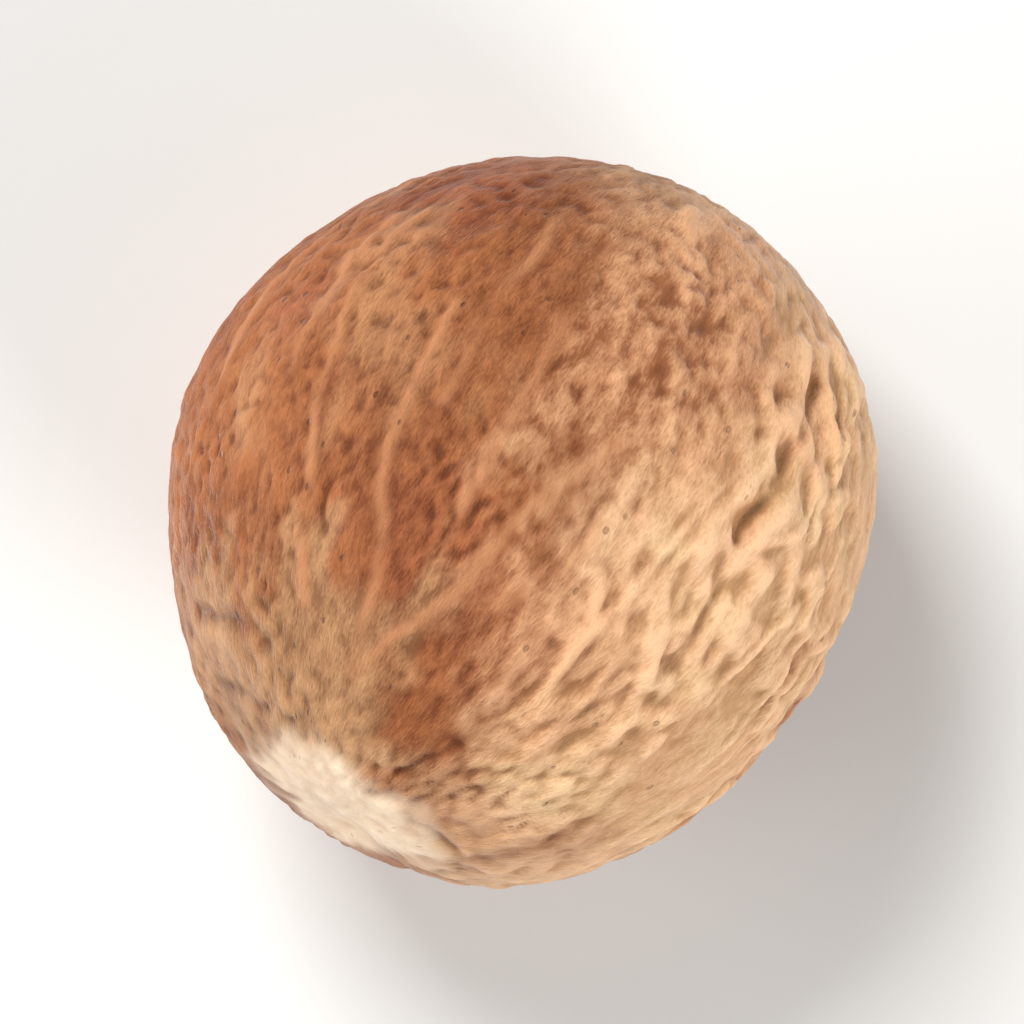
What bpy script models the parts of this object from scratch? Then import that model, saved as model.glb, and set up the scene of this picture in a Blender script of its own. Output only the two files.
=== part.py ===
"""A whole nutmeg lying on its side, as one closed solid.

The seed is an ovoid, a little longer than it is wide. The hilum, the scar where the
stalk held it, makes the blunt end towards -X, and the chalaza, a small sunken eye, marks
the tip towards +X. A shallow groove, the raphe, joins the two along one flank, and low
folds left by drying run the same way. The seed rests on a small flat, tipped so that the
hilum end rides a little higher. Metres, +Z up; the origin is under the middle of the seed,
on the surface that it rests on.
"""

import math

import bmesh
import bpy
from mathutils import Matrix, Vector

MM = 0.001

# The seed's own axes: length from hilum to tip, width across, depth from top to bottom.
LENGTH = 25.3 * MM
WIDTH = 23.1 * MM
DEPTH = 22.3 * MM
TILT = math.radians(18.0)
REST_RADIUS = 3.4 * MM

# The solid starts as a cube with this many quads along each edge.
QUADS = 28

# Broad swells and flats of the uneven outline: degrees from the hilum, degrees round the
# axis (0 at +Y, 90 on top, 180 at -Y), degrees of spread, and millimetres of height.
SWELLS = (
    (28, 180, 17, 0.28),
    (86, 180, 24, -0.36),
    (139, 180, 22, 0.32),
    (156, 0, 17, -0.24),
    (86, 0, 24, 0.44),
    (46, 0, 16, -0.26),
    (70, 75, 26, 0.22),
    (118, 110, 24, -0.20),
    (60, 285, 28, -0.20),
    (112, 250, 26, 0.22),
)

# The hilum: a blunt scar with a low rim and an off-centre pit.
HILUM_SPREAD = math.radians(14.5)
HILUM_CUT = 0.40 * MM
HILUM_RIM_ANGLE = math.radians(17.0)
HILUM_RIM_SPREAD = math.radians(4.0)
HILUM_RIM = 0.10 * MM
HILUM_PIT_SHIFT = math.radians(5.0)
HILUM_PIT_SPREAD = math.radians(4.5)
HILUM_PIT = 0.35 * MM

# The chalaza: a sunken eye, set off towards the raphe, with a crescent rim beyond it.
CHALAZA_SHIFT = math.radians(9.0)
CHALAZA_SPREAD = math.radians(6.5)
CHALAZA_PIT = 0.55 * MM
CHALAZA_RIM_ANGLE = math.radians(12.0)
CHALAZA_RIM_SPREAD = math.radians(4.0)
CHALAZA_RIM = 0.16 * MM

# The raphe: its place round the axis, how far it wanders, and its section.
RAPHE_TURN = math.radians(214.0)
RAPHE_WANDER = math.radians(5.0)
RAPHE_HALF_WIDTH = 0.85 * MM
RAPHE_DEPTH = 0.22 * MM

# Low folds along the seed, deepest on the flank about FOLD_FLANK.
FOLD_COUNT = 23
FOLD_HEIGHT = 0.10 * MM
FOLD_WANDER = 0.09
FOLD_FLANK = math.radians(165.0)
FOLD_LEAST = 0.30


def bump(distance, spread):
    """One at no distance, and falling smoothly to nothing past two spreads."""
    return math.exp(-((distance / spread) ** 2))


def direction(from_hilum, turn):
    """The unit vector at these two angles on the seed's own sphere."""
    across = math.sin(from_hilum)
    return Vector((-math.cos(from_hilum), across * math.cos(turn), across * math.sin(turn)))


def apart(one, other):
    """The angle between two unit vectors."""
    return math.acos(max(-1.0, min(1.0, one.dot(other))))


def swells(way):
    """The uneven outline: the sum of the broad swells and flats."""
    height = 0.0
    for from_hilum, turn, spread, size in SWELLS:
        middle = direction(math.radians(from_hilum), math.radians(turn))
        height += size * MM * bump(apart(way, middle), math.radians(spread))
    return height


def hilum(way, from_hilum):
    """The blunt scar at the stalk end."""
    pit = direction(HILUM_PIT_SHIFT, RAPHE_TURN)
    height = -HILUM_CUT * bump(from_hilum, HILUM_SPREAD)
    height += HILUM_RIM * bump(from_hilum - HILUM_RIM_ANGLE, HILUM_RIM_SPREAD)
    height -= HILUM_PIT * bump(apart(way, pit), HILUM_PIT_SPREAD)
    return height


def chalaza(way):
    """The sunken eye at the tip, and the crescent on its far side."""
    middle = direction(math.pi - CHALAZA_SHIFT, RAPHE_TURN)
    away = apart(way, middle)
    beyond = direction(math.pi - CHALAZA_SHIFT - CHALAZA_RIM_ANGLE, RAPHE_TURN)
    crescent = bump(apart(way, beyond), 1.2 * CHALAZA_RIM_ANGLE)
    rim = bump(away - CHALAZA_RIM_ANGLE, CHALAZA_RIM_SPREAD) * crescent
    return CHALAZA_RIM * rim - CHALAZA_PIT * bump(away, CHALAZA_SPREAD)


def raphe(from_hilum, turn):
    """The groove from the hilum to the chalaza."""
    course = RAPHE_TURN + RAPHE_WANDER * math.sin(2.4 * from_hilum)
    off = math.remainder(turn - course, math.tau) * math.sin(from_hilum) * WIDTH / 2
    return -RAPHE_DEPTH * bump(off, RAPHE_HALF_WIDTH) * math.sin(from_hilum)


def folds(from_hilum, turn):
    """Low folds along the seed, which wander and die out towards both ends."""
    drift = math.sin(2.0 * from_hilum + turn) + 0.6 * math.sin(3.0 * from_hilum - 2.0 * turn)
    wave = math.sin(FOLD_COUNT * (turn + FOLD_WANDER * drift))
    facing = 0.5 + 0.5 * math.cos(turn - FOLD_FLANK)
    strength = FOLD_LEAST + (1.0 - FOLD_LEAST) * facing
    return FOLD_HEIGHT * wave * strength * math.sin(from_hilum) ** 2


def skin(way):
    """The point of the seed's surface in this direction, in the seed's own axes."""
    half = Vector((LENGTH / 2, WIDTH / 2, DEPTH / 2))
    point = Vector((half.x * way.x, half.y * way.y, half.z * way.z))
    outward = Vector((way.x / half.x, way.y / half.y, way.z / half.z)).normalized()
    from_hilum = math.acos(max(-1.0, min(1.0, -way.x)))
    turn = math.atan2(way.z, way.y)
    height = swells(way) + hilum(way, from_hilum) + chalaza(way)
    height += raphe(from_hilum, turn) + folds(from_hilum, turn)
    return point + outward * height


def even_direction(corner):
    """A point of the cube, moved to the sphere so that its squares come out alike."""
    spread = [math.tan(value * math.pi / 4) for value in corner]
    return Vector(spread).normalized()


def settle(mesh):
    """Tip the seed, press its lowest part flat on z = 0 and centre it over the origin."""
    bmesh.ops.rotate(mesh, verts=mesh.verts, cent=(0, 0, 0), matrix=Matrix.Rotation(TILT, 3, "Y"))
    round_radius = LENGTH / 2
    pressed = round_radius - math.sqrt(round_radius**2 - REST_RADIUS**2)
    ground = min(vert.co.z for vert in mesh.verts) + pressed
    for vert in mesh.verts:
        vert.co.z = max(vert.co.z, ground)
    middle = [
        (min(vert.co[axis] for vert in mesh.verts) + max(vert.co[axis] for vert in mesh.verts)) / 2
        for axis in (0, 1)
    ]
    bmesh.ops.translate(mesh, verts=mesh.verts, vec=(-middle[0], -middle[1], -ground))


def seed_mesh():
    """The closed surface: a cube cut into squares, blown up into the seed and set down."""
    mesh = bmesh.new()
    bmesh.ops.create_cube(mesh, size=2.0)
    bmesh.ops.subdivide_edges(mesh, edges=mesh.edges, cuts=QUADS - 1, use_grid_fill=True)
    for vert in mesh.verts:
        vert.co = skin(even_direction(vert.co))
    settle(mesh)
    bmesh.ops.recalc_face_normals(mesh, faces=mesh.faces)
    data = bpy.data.meshes.new("nutmeg")
    mesh.to_mesh(data)
    mesh.free()
    data.shade_smooth()
    return data


def dry_seed_coat():
    """Warm brown, matt seed coat."""
    material = bpy.data.materials.new("dry_seed_coat")
    material.use_nodes = True
    shader = material.node_tree.nodes["Principled BSDF"]
    shader.inputs["Base Color"].default_value = (0.47, 0.25, 0.12, 1.0)
    shader.inputs["Roughness"].default_value = 0.72
    shader.inputs["Metallic"].default_value = 0.0
    return material


def main():
    for old in list(bpy.data.objects):
        bpy.data.objects.remove(old, do_unlink=True)
    collection = bpy.data.collections.new("whole_nutmeg")
    bpy.context.scene.collection.children.link(collection)
    nutmeg = bpy.data.objects.new("nutmeg", seed_mesh())
    nutmeg.data.materials.append(dry_seed_coat())
    collection.objects.link(nutmeg)


main()
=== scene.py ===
"""Looks for a whole nutmeg: one dry, wrinkled seed on a pale surface, seen from above.

The seed coat is a fine skin laid over the solid seed. Drying has drawn it into joined-up
wrinkles that run along the seed, deep and pale on one flank and faint on the other, with
thin raised veins, small pits, a pale scar at the blunt end and a dark eye at the tip. The
pale flank faces the light and its paleness is partly painted light; the darkening in hollows
and pits is partly painted shade.
"""

import math

import bmesh
import bpy
import numpy as np
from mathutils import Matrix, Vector
from mathutils.bvhtree import BVHTree


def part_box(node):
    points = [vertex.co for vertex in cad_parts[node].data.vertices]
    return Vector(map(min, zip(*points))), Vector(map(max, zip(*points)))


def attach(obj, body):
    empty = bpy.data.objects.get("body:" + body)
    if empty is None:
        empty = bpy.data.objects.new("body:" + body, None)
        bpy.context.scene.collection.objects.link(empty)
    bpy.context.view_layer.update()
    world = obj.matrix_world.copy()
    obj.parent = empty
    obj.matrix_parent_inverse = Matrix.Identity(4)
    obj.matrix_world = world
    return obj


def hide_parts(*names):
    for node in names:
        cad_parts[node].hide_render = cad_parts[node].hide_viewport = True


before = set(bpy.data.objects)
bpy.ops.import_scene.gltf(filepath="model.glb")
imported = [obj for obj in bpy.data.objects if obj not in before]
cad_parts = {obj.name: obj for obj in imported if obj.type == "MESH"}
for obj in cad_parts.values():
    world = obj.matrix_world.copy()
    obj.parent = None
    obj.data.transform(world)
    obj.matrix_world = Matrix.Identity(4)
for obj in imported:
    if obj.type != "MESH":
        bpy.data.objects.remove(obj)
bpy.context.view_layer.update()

MM = 0.001

# The seed's own axes: its blunt end is tipped up by TILT, as the solid seed is.
TILT = math.radians(18.0)
SQUARES = 128  # squares along each edge of the cube that becomes the skin
SMOOTHING_ROUNDS = 10
SMOOTHING = 0.5
DRYING_ROUNDS = 2
MERGE_REACH = 0.0001 * MM

# The seed coat unrolled: rows run from the hilum to the tip, columns go round the seed.
ROWS = 384
COLUMNS = 768
SEED_RADIUS = 11.7  # mm
ROW_STEP = math.pi / ROWS
COLUMN_STEP = math.tau / COLUMNS
LEAST_GIRTH = 0.03  # keeps the columns from meeting at the ends
LAST_ROW = ROWS - 1.001  # the last place that still has a row below it

# Patterns left to chance: a seed, then the size in mm across and along the nutmeg.
PATTERNS = {
    "wrinkle height": (51, 1.2, 1.8),
    "wrinkle patches": (52, 0.7, 1.1),
    "grain": (53, 0.10, 0.16),
    "lumps": (54, 0.3, 0.5),
    "vein height": (55, 0.4, 0.8),
    "scar outline": (56, 0.8, 0.8),
    "scar fringe": (57, 0.22, 0.35),
    "scar lumps": (58, 0.30, 0.35),
    "scar grain": (60, 0.12, 0.14),
    "eye outline": (59, 0.5, 0.5),
    "area outline": (41, 0.9, 1.8),
    "area fringe": (42, 0.3, 0.5),
    "flecks": (81, 0.12, 0.32),
    "blots": (82, 0.40, 0.75),
    "clouds": (83, 1.6, 2.4),
}

# The net of round ridges: seed, size in mm across and along, and how wide the ridges are.
NET = (401, 0.42, 1.5, 0.75)
# Sets of wrinkles: seed, spacing in mm, openness, stretch along the nutmeg.
BROAD = (60, 1.15, -0.10, 2.1)
MIDDLING = (61, 0.75, 0.20, 2.0)
NARROW = (62, 0.50, 0.20, 2.3)
# How each of them wanders: seed, distance in mm, size in mm of the stretches it does so over.
NET_SWAY = (76, 0.30, 1.2)
BROAD_SWAY = (170, 0.32, 1.3)
MIDDLING_SWAY = (172, 0.18, 1.0)
NARROW_SWAY = (174, 0.10, 0.7)

# How wrinkles are drawn up and folded.
SPACING_IN_BLURS = 6.5  # the near blur goes this many times into the spacing
FAR_BLUR = 2.0
FAR_STRETCH = 2.5
SHARPENING = 1.5
VALLEY_SLOPE = 1.5
VALLEY_CURVE = 1.25
CREST_SLOPE = 2.0
CREST_SHARE = 0.35  # a crest's height beside a valley's depth
SWAY_STRETCH = 1.5

# Heights of the relief in mm.
NET_HEIGHT = 0.15
BROAD_HEIGHT = 0.085
BROAD_STEEPNESS = 1.1
MIDDLING_FLANK_HEIGHT = 0.060
MIDDLING_FAINT_HEIGHT = 0.046
NARROW_HEIGHT = 0.056
NARROW_FLANK_LOSS = 0.014
VEIN_HEIGHT = 0.09
SCAR_HEIGHT = 0.035
COAT_ROUGHNESS = {"grain": 0.007, "lumps": 0.018}
SCAR_ROUGHNESS = {"scar lumps": 0.022, "scar grain": 0.012}
EYE_RIM_HEIGHT = 0.08
EYE_DEPTH = 0.16

# Where a wrinkle's side turns from crest to valley.
FLANK_BRINK = -0.1
FAINT_BRINK = -0.2
NARROW_BRINK = -0.1
# The share of bold relief left off the flank, at the ends, and of veins lost on the flank.
FAINT_SHARE = 0.12
END_SHARE = 0.25
VEIN_FLANK_LOSS = 0.7
# How a height varies along the coat: pattern, usual share, unevenness, least and most.
UNEVEN = ("wrinkle height", 1.0, 0.45, 0.3, 2.0)
PATCHY = ("wrinkle patches", 1.0, 0.50, 0.2, 2.2)
VEIN_UNEVEN = ("vein height", 0.80, 0.30, 0.0, 1.0)

# How far outlines stray, in degrees, and how strongly the coat is mottled.
SCAR_OUTLINE = {"scar outline": 2.0, "scar fringe": 1.1}
EYE_OUTLINE = {"eye outline": 0.7}
AREA_OUTLINE = {"area outline": 3.5, "area fringe": 2.0}
MOTTLE = {"flecks": 0.31, "blots": 0.30, "clouds": 0.30}
LIGHTENING, DARKENING = 1.1, 0.9
# Painted light in part: the pale colour reaches further along crests and less into hollows.
PALE_ON_CRESTS, CREST_LIMIT = 4.0, 2.0  # pale areas reach further along crests
BEIGE_STRAYING = 2  # how much further than the others beige outlines stray

# Places in degrees from the hilum and round the seed, and the degrees over which they fade.
FLANK, FLANK_FADE = (90, 146), (36, 62)
SHOULDER, SHOULDER_FADE, SHOULDER_SHARE = (124, 104), (14, 34), 0.55
SCAR_PLACE, SCAR_FADE = (3, 130), (11, 21)
EYE_PLACE, EYE_FADE = (169, 214), (1.5, 8)
EYE_RIM_DISTANCE, EYE_RIM_WIDTH = 10, 4
HILUM_END_FADE, TIP_END_FADE = (8, 22), (164, 172)

# Veins over the rest of the seed, mostly out of sight: seed, number, the degrees from the
# hilum and round the seed between which they start, how many they run for, and usual lean.
HIDDEN_VEIN_SEED = 31
HIDDEN_VEINS = 16
HIDDEN_VEIN_START, HIDDEN_VEIN_TURN = (35, 100), (190, 400)
HIDDEN_VEIN_LENGTH, HIDDEN_VEIN_LEAN = (25, 50), 9

# How veins, ridges and creases are drawn: points and waves in a line, the veins' half width
# in mm, seeds, and how far each kind wanders in degrees.
LINE_POINTS = 50
LINE_WAVES = (1, 2, 3, 5)
VEIN_HALF_WIDTH = 0.24
VEIN_SEED, RIDGE_SEED, CREASE_SEED = 100, 300, 200
VEIN_WANDER, RIDGE_WANDER, CREASE_WANDER = 1.0, 1.0, 0.5

# What counts as a hollow: share, size in mm across and along, usual depth in mm.
DIPS = ((0.40, 1.00, 1.40, 0.12), (0.35, 0.45, 0.55, 0.09), (0.45, 0.15, 0.20, 0.03))
PALE_SOFTNESS, AREA_SOFTNESS, RED_SOFTNESS = 14, 9, 6  # degrees

# Areas of the coat: degrees from the hilum, degrees round the seed (90 on top), degrees of
# reach, strength. The pale, deeply wrinkled flank and lesser pale areas come first. The flank
# faces the light, and its paleness is partly painted light and partly the coat's own colour.
PALE_AREAS = (
    (90, 133, 34, 1.00),
    (62, 150, 34, 1.00),
    (114, 150, 38, 0.95),
    (136, 120, 34, 0.72),
    (32, 150, 20, 0.60),
    (37, 168, 18, 0.85),
    (120, 300, 40, 0.60),
    (60, 250, 26, 0.35),
)
TAN_AREAS = ((125, 97, 24, 0.85), (104, 101, 15, 0.70), (118, 124, 15, 0.45), (60, 112, 12, 0.45))
BEIGE_AREAS = ((30, 60, 20, 0.75), (33, 8, 13, 0.65), (92, 50, 17, 0.35), (150, 190, 30, 0.40))
LIGHT_AREAS = (
    (95, 52, 15, 1.0),
    (132, 112, 24, 0.8),
    (75, 20, 12, 0.6),
    (36, 162, 15, 0.6),
    (60, 300, 25, 0.6),
)
DARK_AREAS = ((57, 82, 14, 0.4), (93, 33, 7, 0.5), (124, 46, 16, 0.8), (110, 230, 25, 0.6))
RED_AREAS = (
    (126, 104, 22, 0.32),
    (54, 106, 14, 0.18),
    (93, 33, 6, 1.00),
    (122, 44, 16, 0.50),
    (60, 80, 12, 0.35),
    (100, 350, 24, 0.30),
    (80, 230, 20, 0.30),
)

# Thin raised veins: start and end, each in degrees from the hilum and round the seed.
VEINS = (
    (37, 75, 58, 89),
    (57, 89, 92, 99),
    (37, 76, 66, 68),
    (66, 68, 100, 62),
    (70, 82, 106, 80),
    (60, 97, 80, 104),
    (46, 58, 80, 46),
    (80, 46, 116, 40),
    (84, 70, 124, 66),
)

# Single bold ridges on the flank: start and end as for the veins, height and half width in mm.
RIDGES = (
    (146, 88, 119, 98, 0.17, 0.36),
    (119, 98, 98, 106, 0.17, 0.36),
    (138, 115, 113, 109, 0.14, 0.34),
    (92, 94, 113, 95, 0.12, 0.32),
    (93, 104, 73, 106, 0.20, 0.36),
    (73, 106, 67, 114, 0.20, 0.36),
    (67, 114, 48, 118, 0.16, 0.36),
    (130, 127, 108, 124, 0.22, 0.36),
    (108, 124, 86, 121, 0.20, 0.36),
    (72, 126, 43, 141, 0.16, 0.38),
    (92, 136, 62, 138, 0.15, 0.38),
    (58, 142, 26, 156, 0.14, 0.38),
)

# Deep creases: start and end as for the veins, depth and half width in mm.
CREASES = (
    (127, 133, 93, 126, 0.27, 0.34),
    (142, 98, 120, 103, 0.15, 0.42),
    (134, 121, 116, 117, 0.12, 0.36),
    (25, 106, 37, 112, 0.13, 0.20),
    (19, 134, 24, 156, 0.14, 0.20),
    (37, 47, 40, 10, 0.14, 0.38),
    (23, 38, 28, 10, 0.13, 0.34),
    (18, 212, 90, 218, 0.16, 0.60),
    (90, 218, 164, 213, 0.16, 0.60),
    (20, 213, 88, 217, 0.14, 0.22),
    (92, 217, 160, 213, 0.14, 0.22),
)


# ---------------------------------------------------------------------------
# The unrolled coat
# ---------------------------------------------------------------------------

row_angles = (np.arange(ROWS) + 0.5) * ROW_STEP
column_angles = np.arange(COLUMNS) * COLUMN_STEP
both_ways_round = np.concatenate([row_angles, row_angles + math.pi])
girth = np.maximum(np.abs(np.sin(both_ways_round)), LEAST_GIRTH)
row_waves = np.fft.fftfreq(2 * ROWS) * math.tau
column_waves = np.fft.rfftfreq(COLUMNS) * math.tau


def ways(from_hilum, turn):
    """Unit vectors in the seed's own axes, for angles in radians."""
    across = np.sin(from_hilum)
    return np.stack([-np.cos(from_hilum), across * np.cos(turn), across * np.sin(turn)], -1)


coat_ways = ways(*np.meshgrid(row_angles, column_angles, indexing="ij"))


def softened(coat, across, along):
    """The coat blurred by these many mm across and along the seed, over both its ends."""
    whole = np.concatenate([coat, np.roll(coat[::-1], COLUMNS // 2, axis=1)])
    reach = across / (SEED_RADIUS * girth * COLUMN_STEP)
    waves = np.fft.rfft(whole, axis=1)
    waves *= np.exp(-0.5 * (reach[:, None] * column_waves) ** 2)
    whole = np.fft.irfft(waves, n=COLUMNS, axis=1)
    waves = np.fft.fft(whole, axis=0)
    waves *= np.exp(-0.5 * (along / (SEED_RADIUS * ROW_STEP) * row_waves) ** 2)[:, None]
    return np.fft.ifft(waves, axis=0).real[:ROWS]


def chance(seed, across, along):
    """Smooth chance over the coat, with a spread of one about nothing."""
    field = np.random.default_rng(seed).standard_normal((ROWS, COLUMNS))
    field = softened(field / np.sqrt(girth[:ROWS, None]), across, along)
    return (field - field.mean()) / field.std()


def pattern(name):
    """One of the coat's named patterns."""
    return chance(*PATTERNS[name])


def blended(weights):
    """Named patterns added up, each times its own weight."""
    return sum(weight * pattern(name) for name, weight in weights.items())


def varied(name, usual, unevenness, least, most):
    """A share that varies over the coat with a named pattern."""
    return np.clip(usual + unevenness * pattern(name), least, most)


def drawn_up(seed, spacing, openness, stretch):
    """Wrinkles this many mm apart, above nothing on their crests and below it in valleys.

    Each round sharpens what stands out from its surroundings, as drying does. The more
    open the wrinkles, the wider their crests and the shorter the valleys between them.
    """
    near = spacing / SPACING_IN_BLURS
    far = FAR_BLUR * near
    coat = chance(seed, near, near)
    for _ in range(DRYING_ROUNDS):
        rise = softened(coat, near, stretch * near)
        rise = rise - softened(coat, far, FAR_STRETCH * stretch * near)
        rise /= rise.std()
        coat = np.tanh(SHARPENING * rise + openness)
    return rise


def folded(rise, brink):
    """Wrinkles as a height: narrow valleys down to minus one below the brink, round crests."""
    valley = np.clip((brink - rise) / VALLEY_SLOPE, 0, 1)
    crest = np.clip((rise - brink) / CREST_SLOPE, 0, 1)
    return CREST_SHARE * np.sin(crest * math.pi / 2) - valley**VALLEY_CURVE


def netted(seed, across, along, width):
    """Round ridges joined in a net, along the lines where a pattern passes through nothing.

    They are one on top, and end where the pattern is this width away from nothing.
    """
    return 1 - smooth_step(np.abs(chance(seed, across, along)), 0, width)


def wandering(coat, seed, distance, size):
    """The coat with its lines led astray by this many mm, over stretches of this size."""
    sideways = distance * chance(seed, size, SWAY_STRETCH * size)
    lengthways = distance * chance(seed + 1, size, SWAY_STRETCH * size)
    columns = np.arange(COLUMNS) + sideways / (SEED_RADIUS * girth[:ROWS, None] * COLUMN_STEP)
    rows = np.arange(ROWS)[:, None] + lengthways / (SEED_RADIUS * ROW_STEP)
    return at_places(coat, rows, columns)


def at_places(coat, rows, columns):
    """What the coat holds between its cells."""
    rows = np.clip(rows, 0, LAST_ROW)
    row = np.floor(rows).astype(int)
    column = np.floor(columns).astype(int)
    down, right = rows - row, columns - column
    column %= COLUMNS
    beside = (column + 1) % COLUMNS
    upper = coat[row, column] * (1 - right) + coat[row, beside] * right
    lower = coat[row + 1, column] * (1 - right) + coat[row + 1, beside] * right
    return upper * (1 - down) + lower * down


def smooth_step(value, low, high):
    """Nothing below low, one above high, and an easy slope between."""
    share = np.clip((value - low) / (high - low), 0, 1)
    return share * share * (3 - 2 * share)


def angle_from(from_hilum, turn):
    """Degrees from a place on the seed, given in degrees, to every cell of the coat."""
    middle = ways(np.radians(from_hilum), np.radians(turn))
    return np.degrees(np.arccos(np.clip(coat_ways @ middle, -1, 1)))


def traced(course, seed, wander):
    """A course over the coat: from place to place, wandering by this many degrees."""
    start, end = np.array(course[:2], float), np.array(course[2:4], float)
    steps = np.linspace(0, 1, LINE_POINTS)[:, None]
    draw = np.random.default_rng(seed)
    line = start + (end - start) * steps
    for waves in LINE_WAVES:
        sway = draw.normal(0, wander / waves, 2)
        line = line + sway * np.sin(math.pi * waves * steps)
    line = np.radians(line)
    return ways(line[:, 0], line[:, 1])


def ribbon(line, half_width):
    """One along a traced line, and next to nothing past twice this many mm from it."""
    nearness = np.full((ROWS, COLUMNS), -1.0)
    for point in line:
        np.maximum(nearness, coat_ways @ point, out=nearness)
    distance = SEED_RADIUS * np.arccos(np.clip(nearness, -1, 1))
    return np.exp(-((distance / half_width) ** 2))


def all_veins():
    """The veins on show, and more like them over the rest of the seed."""
    draw = np.random.default_rng(HIDDEN_VEIN_SEED)
    courses = list(VEINS)
    for _ in range(HIDDEN_VEINS):
        start = draw.uniform(*HIDDEN_VEIN_START)
        turn = draw.uniform(*HIDDEN_VEIN_TURN)
        end = start + draw.uniform(*HIDDEN_VEIN_LENGTH)
        courses.append((start, turn, end, turn + draw.normal(0, HIDDEN_VEIN_LEAN)))
    raised = np.zeros((ROWS, COLUMNS))
    for number, course in enumerate(courses):
        line = traced(course, VEIN_SEED + number, VEIN_WANDER)
        raised = np.maximum(raised, ribbon(line, VEIN_HALF_WIDTH))
    return raised


def all_along(courses, first_seed, wander):
    """Bold lines over the coat, each with a height or depth and a half width in mm."""
    height = np.zeros((ROWS, COLUMNS))
    for number, course in enumerate(courses):
        line = traced(course, first_seed + number, wander)
        height = np.maximum(height, course[4] * ribbon(line, course[5]))
    return height


def share_of(areas, edge, softness):
    """How far the coat belongs to these areas, whose edge is moved by this many degrees."""
    share = np.zeros((ROWS, COLUMNS))
    for from_hilum, turn, reach, strength in areas:
        distance = angle_from(from_hilum, turn) + edge
        inside = 1 - smooth_step(distance, reach - softness, reach + softness)
        share = np.maximum(share, strength * inside)
    return share


def flank_share():
    """Where the wrinkles are bold: all of the flank, and partly the shoulder beside it."""
    flank = 1 - smooth_step(angle_from(*FLANK), *FLANK_FADE)
    shoulder = SHOULDER_SHARE - SHOULDER_SHARE * smooth_step(angle_from(*SHOULDER), *SHOULDER_FADE)
    return np.maximum(flank, shoulder)


def wrinkles(flank):
    """The wrinkles' height in mm: bold on the flank, faint elsewhere and near the ends."""
    uneven = varied(*UNEVEN)
    patchy = varied(*PATCHY)
    net = wandering(netted(*NET), *NET_SWAY)
    broad = wandering(drawn_up(*BROAD), *BROAD_SWAY)
    middling = wandering(drawn_up(*MIDDLING), *MIDDLING_SWAY)
    narrow = wandering(drawn_up(*NARROW), *NARROW_SWAY)

    relief = (NET_HEIGHT * net + BROAD_HEIGHT * np.tanh(BROAD_STEEPNESS * broad)) * uneven
    relief += MIDDLING_FLANK_HEIGHT * folded(middling, FLANK_BRINK) * patchy
    relief *= FAINT_SHARE + (1 - FAINT_SHARE) * flank
    relief += MIDDLING_FAINT_HEIGHT * folded(middling, FAINT_BRINK) * (1 - flank)
    relief += (NARROW_HEIGHT - NARROW_FLANK_LOSS * flank) * folded(narrow, NARROW_BRINK) * patchy
    relief += blended(COAT_ROUGHNESS)

    from_hilum = np.degrees(row_angles)[:, None]
    along = smooth_step(from_hilum, *HILUM_END_FADE) * (1 - smooth_step(from_hilum, *TIP_END_FADE))
    return relief * (END_SHARE + (1 - END_SHARE) * along)


def coat_relief():
    """Everything that the coat shows, as a dictionary of one array for each thing."""
    flank = flank_share()
    relief = wrinkles(flank)
    vein = all_veins() * varied(*VEIN_UNEVEN) * (1 - VEIN_FLANK_LOSS * flank)
    relief += VEIN_HEIGHT * vein
    relief += all_along(RIDGES, RIDGE_SEED, RIDGE_WANDER)
    relief -= all_along(CREASES, CREASE_SEED, CREASE_WANDER)

    scar_distance = angle_from(*SCAR_PLACE) + blended(SCAR_OUTLINE)
    scar = 1 - smooth_step(scar_distance, *SCAR_FADE)
    relief += scar * (SCAR_HEIGHT + blended(SCAR_ROUGHNESS))
    eye_distance = angle_from(*EYE_PLACE) + blended(EYE_OUTLINE)
    eye = 1 - smooth_step(eye_distance, *EYE_FADE)
    past_rim = (eye_distance - EYE_RIM_DISTANCE) / EYE_RIM_WIDTH
    relief += EYE_RIM_HEIGHT * np.exp(-(past_rim**2)) - EYE_DEPTH * eye

    # The dip is above nothing on crests and below it in hollows.
    dip = np.zeros_like(relief)
    for share, across, along, depth in DIPS:
        dip += share * (relief - softened(relief, across, along)) / depth
    edge = blended(AREA_OUTLINE)
    # Painted light and shade in part: the pale colour follows the crests and stays out of hollows.
    pale_edge = edge - PALE_ON_CRESTS * np.clip(dip, -CREST_LIMIT, CREST_LIMIT)
    mottle = blended(MOTTLE)
    mottle += LIGHTENING * share_of(LIGHT_AREAS, edge, AREA_SOFTNESS)
    mottle -= DARKENING * share_of(DARK_AREAS, edge, AREA_SOFTNESS)
    return {
        "relief": relief,
        "dip": dip,
        "mottle": mottle,
        "pale": share_of(PALE_AREAS, pale_edge, PALE_SOFTNESS),
        "beige": share_of(BEIGE_AREAS, BEIGE_STRAYING * edge, AREA_SOFTNESS),
        "tan": share_of(TAN_AREAS, edge, AREA_SOFTNESS),
        "red": share_of(RED_AREAS, edge, RED_SOFTNESS),
        "vein": vein,
        "scar": scar,
        "eye": eye,
    }


# ---------------------------------------------------------------------------
# The skin
# ---------------------------------------------------------------------------


def solid_seed():
    """The solid seed as a tree that a ray can be cast at."""
    solid = bmesh.new()
    solid.from_mesh(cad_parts["nutmeg"].data)
    bmesh.ops.remove_doubles(solid, verts=solid.verts, dist=MERGE_REACH)
    tree = BVHTree.FromBMesh(solid)
    solid.free()
    return tree


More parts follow.
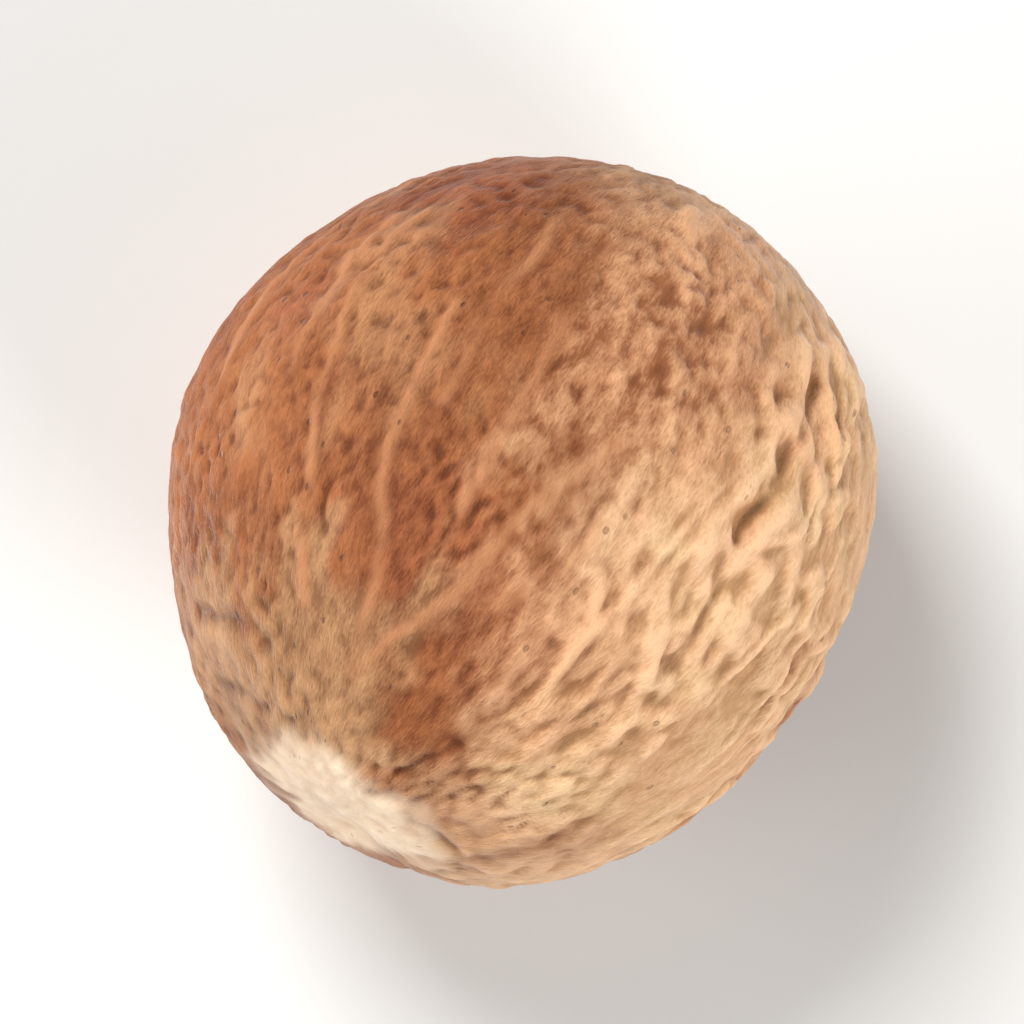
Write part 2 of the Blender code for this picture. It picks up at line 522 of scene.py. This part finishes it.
def bare_skin(middle):
    """A cube of small squares, blown out from the seed's middle until it lies on the solid."""
    tree = solid_seed()
    skin = bmesh.new()
    bmesh.ops.create_cube(skin, size=2.0)
    bmesh.ops.subdivide_edges(skin, edges=skin.edges, cuts=SQUARES - 1, use_grid_fill=True)
    for vert in skin.verts:
        way = Vector([math.tan(value * math.pi / 4) for value in vert.co]).normalized()
        vert.co = tree.ray_cast(middle, way)[0]
    for _ in range(SMOOTHING_ROUNDS):
        bmesh.ops.smooth_vert(
            skin,
            verts=skin.verts,
            factor=SMOOTHING,
            use_axis_x=True,
            use_axis_y=True,
            use_axis_z=True,
        )
    bmesh.ops.recalc_face_normals(skin, faces=skin.faces)
    mesh = bpy.data.meshes.new("seed_skin")
    skin.to_mesh(mesh)
    skin.free()
    return mesh


def rows_of(numbers, width=3):
    """Blender's flat list of vectors as an array with a row for each."""
    return numbers.reshape(-1, width).astype(float)


def seed_angles(points, middle, half):
    """Radians from the hilum and round the seed, for points in the world's axes."""
    x, y, z = (points - np.array(middle)).T
    along = x * math.cos(TILT) - z * math.sin(TILT)
    above = x * math.sin(TILT) + z * math.cos(TILT)
    way = np.stack([along / half[0], y / half[1], above / half[2]], -1)
    way /= np.linalg.norm(way, axis=1, keepdims=True)
    return np.arccos(np.clip(-way[:, 0], -1, 1)), np.arctan2(way[:, 2], way[:, 1])


def keep(mesh, name, kind, values):
    """Stores one value for each vertex, for the material to read."""
    field = "vector" if kind == "FLOAT_VECTOR" else "value"
    mesh.attributes.new(name, kind, "POINT").data.foreach_set(field, values.astype(np.float32).ravel())


def seed_coat():
    """The wrinkled skin, in the solid seed's place."""
    low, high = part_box("nutmeg")
    middle = (low + high) / 2
    half = (high - low) / 2
    mesh = bare_skin(middle)
    numbers = np.empty(len(mesh.vertices) * 3, np.float32)
    mesh.vertices.foreach_get("co", numbers)
    points = rows_of(numbers)
    mesh.vertex_normals.foreach_get("vector", numbers)
    normals = rows_of(numbers)

    from_hilum, turn = seed_angles(points, middle, half)
    rows = from_hilum / ROW_STEP - 0.5
    columns = turn / COLUMN_STEP
    coat = coat_relief()
    relief = at_places(coat.pop("relief"), rows, columns)
    points += normals * relief[:, None] * MM
    points[:, 2] = np.maximum(points[:, 2], low.z)
    mesh.vertices.foreach_set("co", points.astype(np.float32).ravel())

    for name, field in coat.items():
        keep(mesh, name, "FLOAT", at_places(field, rows, columns))
    flow = np.stack([np.cos(turn), np.sin(turn), from_hilum], -1) * SEED_RADIUS
    keep(mesh, "flow", "FLOAT_VECTOR", flow)
    mesh.shade_smooth()
    mesh.update()
    seed = bpy.data.objects.new("seed_coat", mesh)
    bpy.context.scene.collection.objects.link(seed)
    return seed


# ---------------------------------------------------------------------------
# Materials
# ---------------------------------------------------------------------------


# Where a Mix node has its sockets for colours.
MIX_SHARE, MIX_FIRST, MIX_SECOND, MIX_RESULT = 0, 6, 7, 2


class Bench:
    """A material's nodes, with short ways to add and join them."""

    def __init__(self, name):
        self.material = bpy.data.materials.new(name)
        self.material.use_nodes = True
        self.tree = self.material.node_tree
        self.shader = self.tree.nodes["Principled BSDF"]

    def add(self, kind, inputs=None, **settings):
        """Adds a node. Inputs are numbers, colours or other nodes' outputs, by name or place."""
        node = self.tree.nodes.new(kind)
        for name, value in settings.items():
            setattr(node, name, value)
        for name, value in (inputs or {}).items():
            self.set(node.inputs[name], value)
        return node

    def set(self, socket, value):
        """Joins an output to a socket, or sets the socket's own value, a number or colour."""
        if isinstance(value, bpy.types.NodeSocket):
            self.tree.links.new(value, socket)
        else:
            socket.default_value = value

    def kept(self, name, vector=False):
        """What the mesh keeps under this name."""
        node = self.add("ShaderNodeAttribute", attribute_name=name)
        return node.outputs["Vector" if vector else "Fac"]

    def place(self):
        """Where a point lies on the object, in metres."""
        return self.add("ShaderNodeTexCoord").outputs["Object"]

    def sum(self, operation, first, second, clamp=False):
        """One step of arithmetic."""
        node = self.add("ShaderNodeMath", {0: first, 1: second}, operation=operation, use_clamp=clamp)
        return node.outputs[0]

    def times(self, first, second):
        """Two values multiplied."""
        return self.sum("MULTIPLY", first, second)

    def weighed(self, *parts):
        """Values added up, each times its own weight."""
        total = 0.0
        for value, weight in parts:
            node = self.add(
                "ShaderNodeMath", {0: value, 1: weight, 2: total}, operation="MULTIPLY_ADD"
            )
            total = node.outputs[0]
        return total

    def between(self, value, low, high):
        """The value's place between low and high, from nothing to one."""
        node = self.add(
            "ShaderNodeMapRange",
            {"Value": value, "From Min": low, "From Max": high},
            interpolation_type="SMOOTHSTEP",
        )
        return node.outputs["Result"]

    def stretched(self, vector, scale):
        """A coordinate scaled along each of its axes."""
        node = self.add("ShaderNodeMapping", {"Vector": vector, "Scale": scale})
        return node.outputs["Vector"]

    def cloud(self, vector, scale, detail, roughness):
        """Noise from nothing to one."""
        inputs = {"Vector": vector, "Scale": scale, "Detail": detail, "Roughness": roughness}
        return self.add("ShaderNodeTexNoise", inputs).outputs["Fac"]

    def strands(self, flow, stretch, detail, roughness):
        """Noise drawn out along the seed."""
        return self.cloud(self.stretched(flow, stretch), 1.0, detail, roughness)

    def mixed(self, share, first, second):
        """Two colours mixed."""
        node = self.add("ShaderNodeMix", data_type="RGBA", clamp_factor=True)
        self.set(node.inputs[MIX_SHARE], share)
        self.set(node.inputs[MIX_FIRST], first)
        self.set(node.inputs[MIX_SECOND], second)
        return node.outputs[MIX_RESULT]


def colour(red, green, blue):
    """A plain colour with nothing see-through."""
    return (red, green, blue, 1.0)


# The coat's colours, each from its darkest to its lightest.
BROWN = (colour(0.192, 0.050, 0.013), colour(0.445, 0.155, 0.052))
RED_BROWN = (colour(0.165, 0.034, 0.012), colour(0.425, 0.115, 0.046))
TAN = (colour(0.350, 0.118, 0.044), colour(0.830, 0.425, 0.215))
BEIGE = (colour(0.300, 0.145, 0.062), colour(0.680, 0.390, 0.190))
# The pale areas' colours; on the flank that faces the light the paleness is partly painted light.
CREAM = (colour(0.620, 0.325, 0.155), colour(0.960, 0.600, 0.350))
STRAW = (colour(0.590, 0.330, 0.150), colour(0.950, 0.625, 0.355))
SCAR = (colour(0.660, 0.410, 0.240), colour(0.990, 0.800, 0.600))
# Painted shade together with the coat's own darker colour, laid in its hollows and pits.
HOLLOW_TINT_AND_SHADE = (colour(0.120, 0.034, 0.011), colour(0.400, 0.215, 0.095))
VEIN_TAN = colour(0.560, 0.240, 0.105)
EYE_DARK = colour(0.060, 0.026, 0.016)
CARD = colour(0.84, 0.84, 0.83)
CARD_ROUGHNESS = 0.9

# Noise on the coat: waves to each mm (across, across, along) or to each metre, then detail
# and roughness.
FIBRES = ((5.2, 5.2, 1.7), 3.0, 0.66)
THREADS = ((13.0, 13.0, 4.5), 1.0, 0.5)
GRAIN = (5200.0, 2.0, 0.6)
CHALK = (1500.0, 3.0, 0.70)
STRAW_CLOUDS = (380.0, 1.0, 0.5)
PORES = (1.5, 1.5, 1.1)

# How much each thing adds to a tone, and what the whole is moved by. The dip makes crests
# lighter and hollows darker, partly painted light and shade on the relief.
TONE = {"mottle": 0.28, "dip": 0.26, "fibres": 1.0, "threads": 1.0, "shift": 0.52}
CHALK_TONE = {"chalk": 1.1, "tone": 0.15, "dip": 0.12, "shift": 0.08}
BUMP = {"fibres": 0.60, "threads": 0.40, "grain": 0.20, "pore": -0.6, "chalk": 0.5}
BUMP_DEPTH = 0.11 * MM
SMOOTHEST, ROUGHEST = 0.58, 0.82

# The coat's faint gloss and dusty bloom.
BLOOM = {
    "Specular IOR Level": 0.25,
    "Sheen Weight": 0.42,
    "Sheen Roughness": 0.30,
    "Sheen Tint": colour(1.0, 0.86, 0.80),
}

# Where noise turns into straw colour, hollows, open pores and their rims. Hollows and pores
# are darkened with the hollow colour, which is partly painted shade.
STRAW_EDGE = (0.42, 0.66)
HOLLOW_EDGE = (-0.3, -2.4)
LONE_PORES = (0.58, 0.62)
PORE_EDGE = (0.17, 0.07)
HOLLOW_STRENGTH = 0.50
VEIN_STRENGTH = 0.90
EYE_STRENGTH = 0.85
PORE_STRENGTH = 0.55


def skin_colour(bench, tone, chalk, pore):
    """The coat's colour: its areas, then hollows, veins, scar, eye and pores over them.

    The pale flank is partly painted light; hollows and pores are darkened partly with painted
    shade and partly with the coat's own darker colour.
    """
    place = bench.place()
    pale = bench.kept("pale")
    skin = bench.mixed(bench.kept("red"), bench.mixed(tone, *BROWN), bench.mixed(tone, *RED_BROWN))
    skin = bench.mixed(bench.kept("beige"), skin, bench.mixed(tone, *BEIGE))
    straw = bench.between(bench.cloud(place, *STRAW_CLOUDS), *STRAW_EDGE)
    cream = bench.mixed(straw, bench.mixed(tone, *CREAM), bench.mixed(tone, *STRAW))
    # Pale areas: on the flank that faces the light this is partly painted light, partly the coat's own
    # colour.
    skin = bench.mixed(pale, skin, cream)
    skin = bench.mixed(bench.kept("tan"), skin, bench.mixed(tone, *TAN))

    # Painted shade: the hollows darken, partly with the coat's own colour there.
    hollow = bench.times(bench.between(bench.kept("dip"), *HOLLOW_EDGE), HOLLOW_STRENGTH)
    hollow_tint_and_shade = bench.mixed(pale, *HOLLOW_TINT_AND_SHADE)
    skin = bench.mixed(hollow, skin, hollow_tint_and_shade)
    skin = bench.mixed(bench.times(bench.kept("vein"), VEIN_STRENGTH), skin, VEIN_TAN)
    skin = bench.mixed(bench.kept("scar"), skin, bench.mixed(chalk, *SCAR))
    skin = bench.mixed(bench.times(bench.kept("eye"), EYE_STRENGTH), skin, EYE_DARK)
    # Pits take the same darker colour, partly painted shade.
    return bench.mixed(bench.times(pore, PORE_STRENGTH), skin, hollow_tint_and_shade)


def seed_coat_material():
    """Dry seed coat: brown and cream, darker in its hollows, with fine lengthwise fibres.

    The darkening in hollows and pits is partly painted shade, and the cream flank is partly
    painted light.
    """
    bench = Bench("dry_seed_coat")
    flow = bench.kept("flow", vector=True)
    place = bench.place()
    dip = bench.kept("dip")
    scar = bench.kept("scar")
    fibres = bench.strands(flow, *FIBRES)
    threads = bench.strands(flow, *THREADS)
    grain = bench.cloud(place, *GRAIN)

    # The dip lightens crests and darkens hollows, partly painted light and shade.
    tone = bench.weighed(
        (bench.kept("mottle"), TONE["mottle"]),
        (dip, TONE["dip"]),
        (fibres, TONE["fibres"]),
        (threads, TONE["threads"]),
    )
    tone = bench.sum("SUBTRACT", tone, TONE["shift"], clamp=True)
    # On the scar the dip lightens crests too, partly painted light.
    chalk = bench.weighed(
        (bench.cloud(place, *CHALK), CHALK_TONE["chalk"]),
        (tone, CHALK_TONE["tone"]),
        (dip, CHALK_TONE["dip"]),
    )
    chalk = bench.sum("ADD", chalk, CHALK_TONE["shift"], clamp=True)

    cells = {"Vector": bench.stretched(flow, PORES), "Scale": 1.0}
    pores = bench.add("ShaderNodeTexVoronoi", cells)
    lone = bench.between(pores.outputs["Color"], *LONE_PORES)
    pore = bench.times(bench.between(pores.outputs["Distance"], *PORE_EDGE), lone)

    height = bench.weighed(
        (fibres, BUMP["fibres"]),
        (threads, BUMP["threads"]),
        (grain, BUMP["grain"]),
        (pore, BUMP["pore"]),
    )
    off_scar = bench.times(bench.sum("SUBTRACT", 1.0, scar, clamp=True), height)
    height = bench.weighed((bench.times(scar, chalk), BUMP["chalk"]), (off_scar, 1.0))
    bump = bench.add("ShaderNodeBump", {"Strength": 1.0, "Distance": BUMP_DEPTH, "Height": height})
    roughness = bench.add(
        "ShaderNodeMapRange", {"Value": grain, "To Min": SMOOTHEST, "To Max": ROUGHEST}
    )

    bench.set(bench.shader.inputs["Base Color"], skin_colour(bench, tone, chalk, pore))
    bench.set(bench.shader.inputs["Roughness"], roughness.outputs["Result"])
    bench.set(bench.shader.inputs["Normal"], bump.outputs["Normal"])
    for name, value in BLOOM.items():
        bench.shader.inputs[name].default_value = value
    return bench.material


def floor_material():
    """Plain pale card."""
    bench = Bench("pale_card")
    bench.shader.inputs["Base Color"].default_value = CARD
    bench.shader.inputs["Roughness"].default_value = CARD_ROUGHNESS
    return bench.material


# ---------------------------------------------------------------------------
# Surface, lights and camera
# ---------------------------------------------------------------------------

FLOOR_REACH = 0.8
FLOOR_SIDES = 96
CAMERA_HEIGHT = 0.42
FRAME_WIDTH = 0.0345  # what the camera takes in, at the height of the seed's middle
SENSOR_WIDTH = 36.0
NEAREST_SEEN = 0.01
TURN = math.radians(58.0)  # the seed points this far above the camera's right

# Square soft lights: name, place (right, up and above the floor), size, power and tint.
LIGHTS = (
    ("over", (-0.14, 0.24, 0.38), 0.16, 1.66, (1.0, 0.99, 0.97)),
    ("right", (0.28, -0.30, 0.28), 0.22, 1.40, (1.0, 0.98, 0.95)),
    ("edge", (0.40, -0.14, 0.07), 0.20, 0.30, (0.96, 0.97, 1.0)),
    ("left", (-0.36, 0.0, 0.12), 0.26, 0.84, (1.0, 0.97, 0.95)),
)
ROOM_LIGHT = colour(0.90, 0.92, 0.94)
ROOM_STRENGTH = 0.20


def lay_floor():
    """A wide round of pale card under the seed."""
    card = bmesh.new()
    bmesh.ops.create_circle(card, cap_ends=True, segments=FLOOR_SIDES, radius=FLOOR_REACH)
    mesh = bpy.data.meshes.new("card")
    card.to_mesh(mesh)
    card.free()
    mesh.materials.append(floor_material())
    floor = bpy.data.objects.new("card", mesh)
    bpy.context.scene.collection.objects.link(floor)


def in_view(right, up, height):
    """A place given along the camera's own right and up, and above the floor."""
    x = right * math.cos(TURN) + up * math.sin(TURN)
    y = -right * math.sin(TURN) + up * math.cos(TURN)
    return Vector((x, y, height))


def add_light(name, place, target, size, power, tint):
    """A square soft light that faces the seed."""
    lamp = bpy.data.lights.new(name, "AREA")
    lamp.size = size
    lamp.energy = power
    lamp.color = tint
    light = bpy.data.objects.new(name, lamp)
    light.location = place
    light.rotation_euler = (target - place).to_track_quat("-Z", "Y").to_euler()
    bpy.context.scene.collection.objects.link(light)


def light_seed(target):
    """Broad soft lights over the seed, low at its right and low at its left, in a dim room."""
    for name, place, size, power, tint in LIGHTS:
        add_light(name, in_view(*place), target, size, power, tint)
    world = bpy.data.worlds.new("studio")
    world.use_nodes = True
    room = world.node_tree.nodes["Background"]
    room.inputs["Color"].default_value = ROOM_LIGHT
    room.inputs["Strength"].default_value = ROOM_STRENGTH
    bpy.context.scene.world = world


def place_camera(target):
    """A long lens straight above the seed, rolled so that the scar is at the lower left."""
    lens = bpy.data.cameras.new("camera")
    lens.sensor_width = SENSOR_WIDTH
    lens.lens = lens.sensor_width * (CAMERA_HEIGHT - target.z) / FRAME_WIDTH
    lens.clip_start = NEAREST_SEEN
    camera = bpy.data.objects.new("camera", lens)
    camera.location = (target.x, target.y, CAMERA_HEIGHT)
    camera.rotation_euler = (0.0, 0.0, -TURN)
    bpy.context.scene.collection.objects.link(camera)
    bpy.context.scene.camera = camera


def main():
    seed = seed_coat()
    seed.data.materials.append(seed_coat_material())
    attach(seed, "root")
    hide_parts("nutmeg")
    low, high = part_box("nutmeg")
    middle = (low + high) / 2
    lay_floor()
    light_seed(middle)
    place_camera(middle)
    bpy.context.scene.view_settings.view_transform = "Standard"


main()
